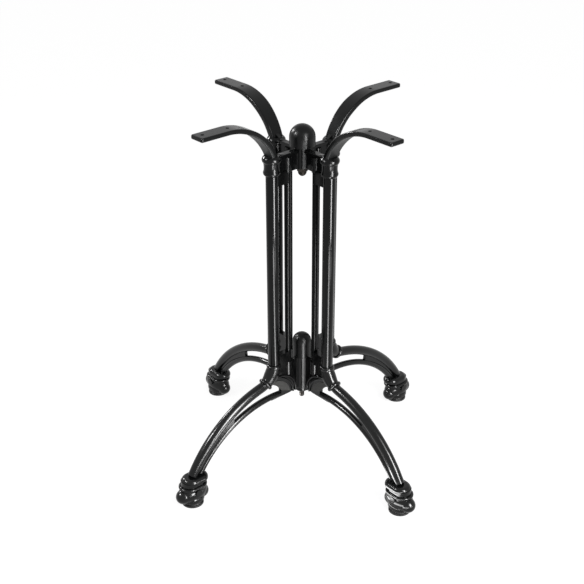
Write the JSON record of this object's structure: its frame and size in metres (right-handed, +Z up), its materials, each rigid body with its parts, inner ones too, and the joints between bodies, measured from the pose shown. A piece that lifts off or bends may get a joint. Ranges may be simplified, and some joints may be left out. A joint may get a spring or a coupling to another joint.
{
  "type": "table base",
  "caption": "Black four star table base with curved arms above, upright tubes between domed hubs, and arched split legs below that end in scroll feet on round pads",
  "frame": {"origin": "on the floor under the centre of the base", "axes": "+Z is up through the hub, the front of the picture looks along +Y, and the four rows of columns, arms and feet stand at 45, 135, 225 and 315 degrees from +X"},
  "size_m": [0.45, 0.45, 0.72],
  "materials": {
    "casting_enamel": "semi-gloss black enamel on cast aluminium",
    "tube_enamel": "semi-gloss black enamel on steel",
    "pad_nylon": "moulded black nylon, fine matt grain",
    "stud_steel": "blackened threaded steel",
    "cap_nut_steel": "brown-black oxidised steel",
    "flange_nut_enamel": "semi-gloss black enamel"
  },
  "bodies": {
    "root": {"leg_casting_front_left": "casting_enamel", "arm_casting_front_left": "casting_enamel", "outer_tube_front_left": "tube_enamel", "inner_rod_front_left": "tube_enamel", "foot_pad_front_left": "pad_nylon", "leg_casting_front_right": "casting_enamel", "arm_casting_front_right": "casting_enamel", "outer_tube_front_right": "tube_enamel", "inner_rod_front_right": "tube_enamel", "foot_pad_front_right": "pad_nylon", "leg_casting_rear_right": "casting_enamel", "arm_casting_rear_right": "casting_enamel", "outer_tube_rear_right": "tube_enamel", "inner_rod_rear_right": "tube_enamel", "foot_pad_rear_right": "pad_nylon", "leg_casting_rear_left": "casting_enamel", "arm_casting_rear_left": "casting_enamel", "outer_tube_rear_left": "tube_enamel", "inner_rod_rear_left": "tube_enamel", "foot_pad_rear_left": "pad_nylon", "upper_dome_cap": "casting_enamel", "lower_dome_cap": "casting_enamel", "upper_stud": "stud_steel", "lower_stud": "stud_steel", "upper_cap_nut": "cap_nut_steel", "lower_flange_nut": "flange_nut_enamel"}
  },
  "joints": []
}
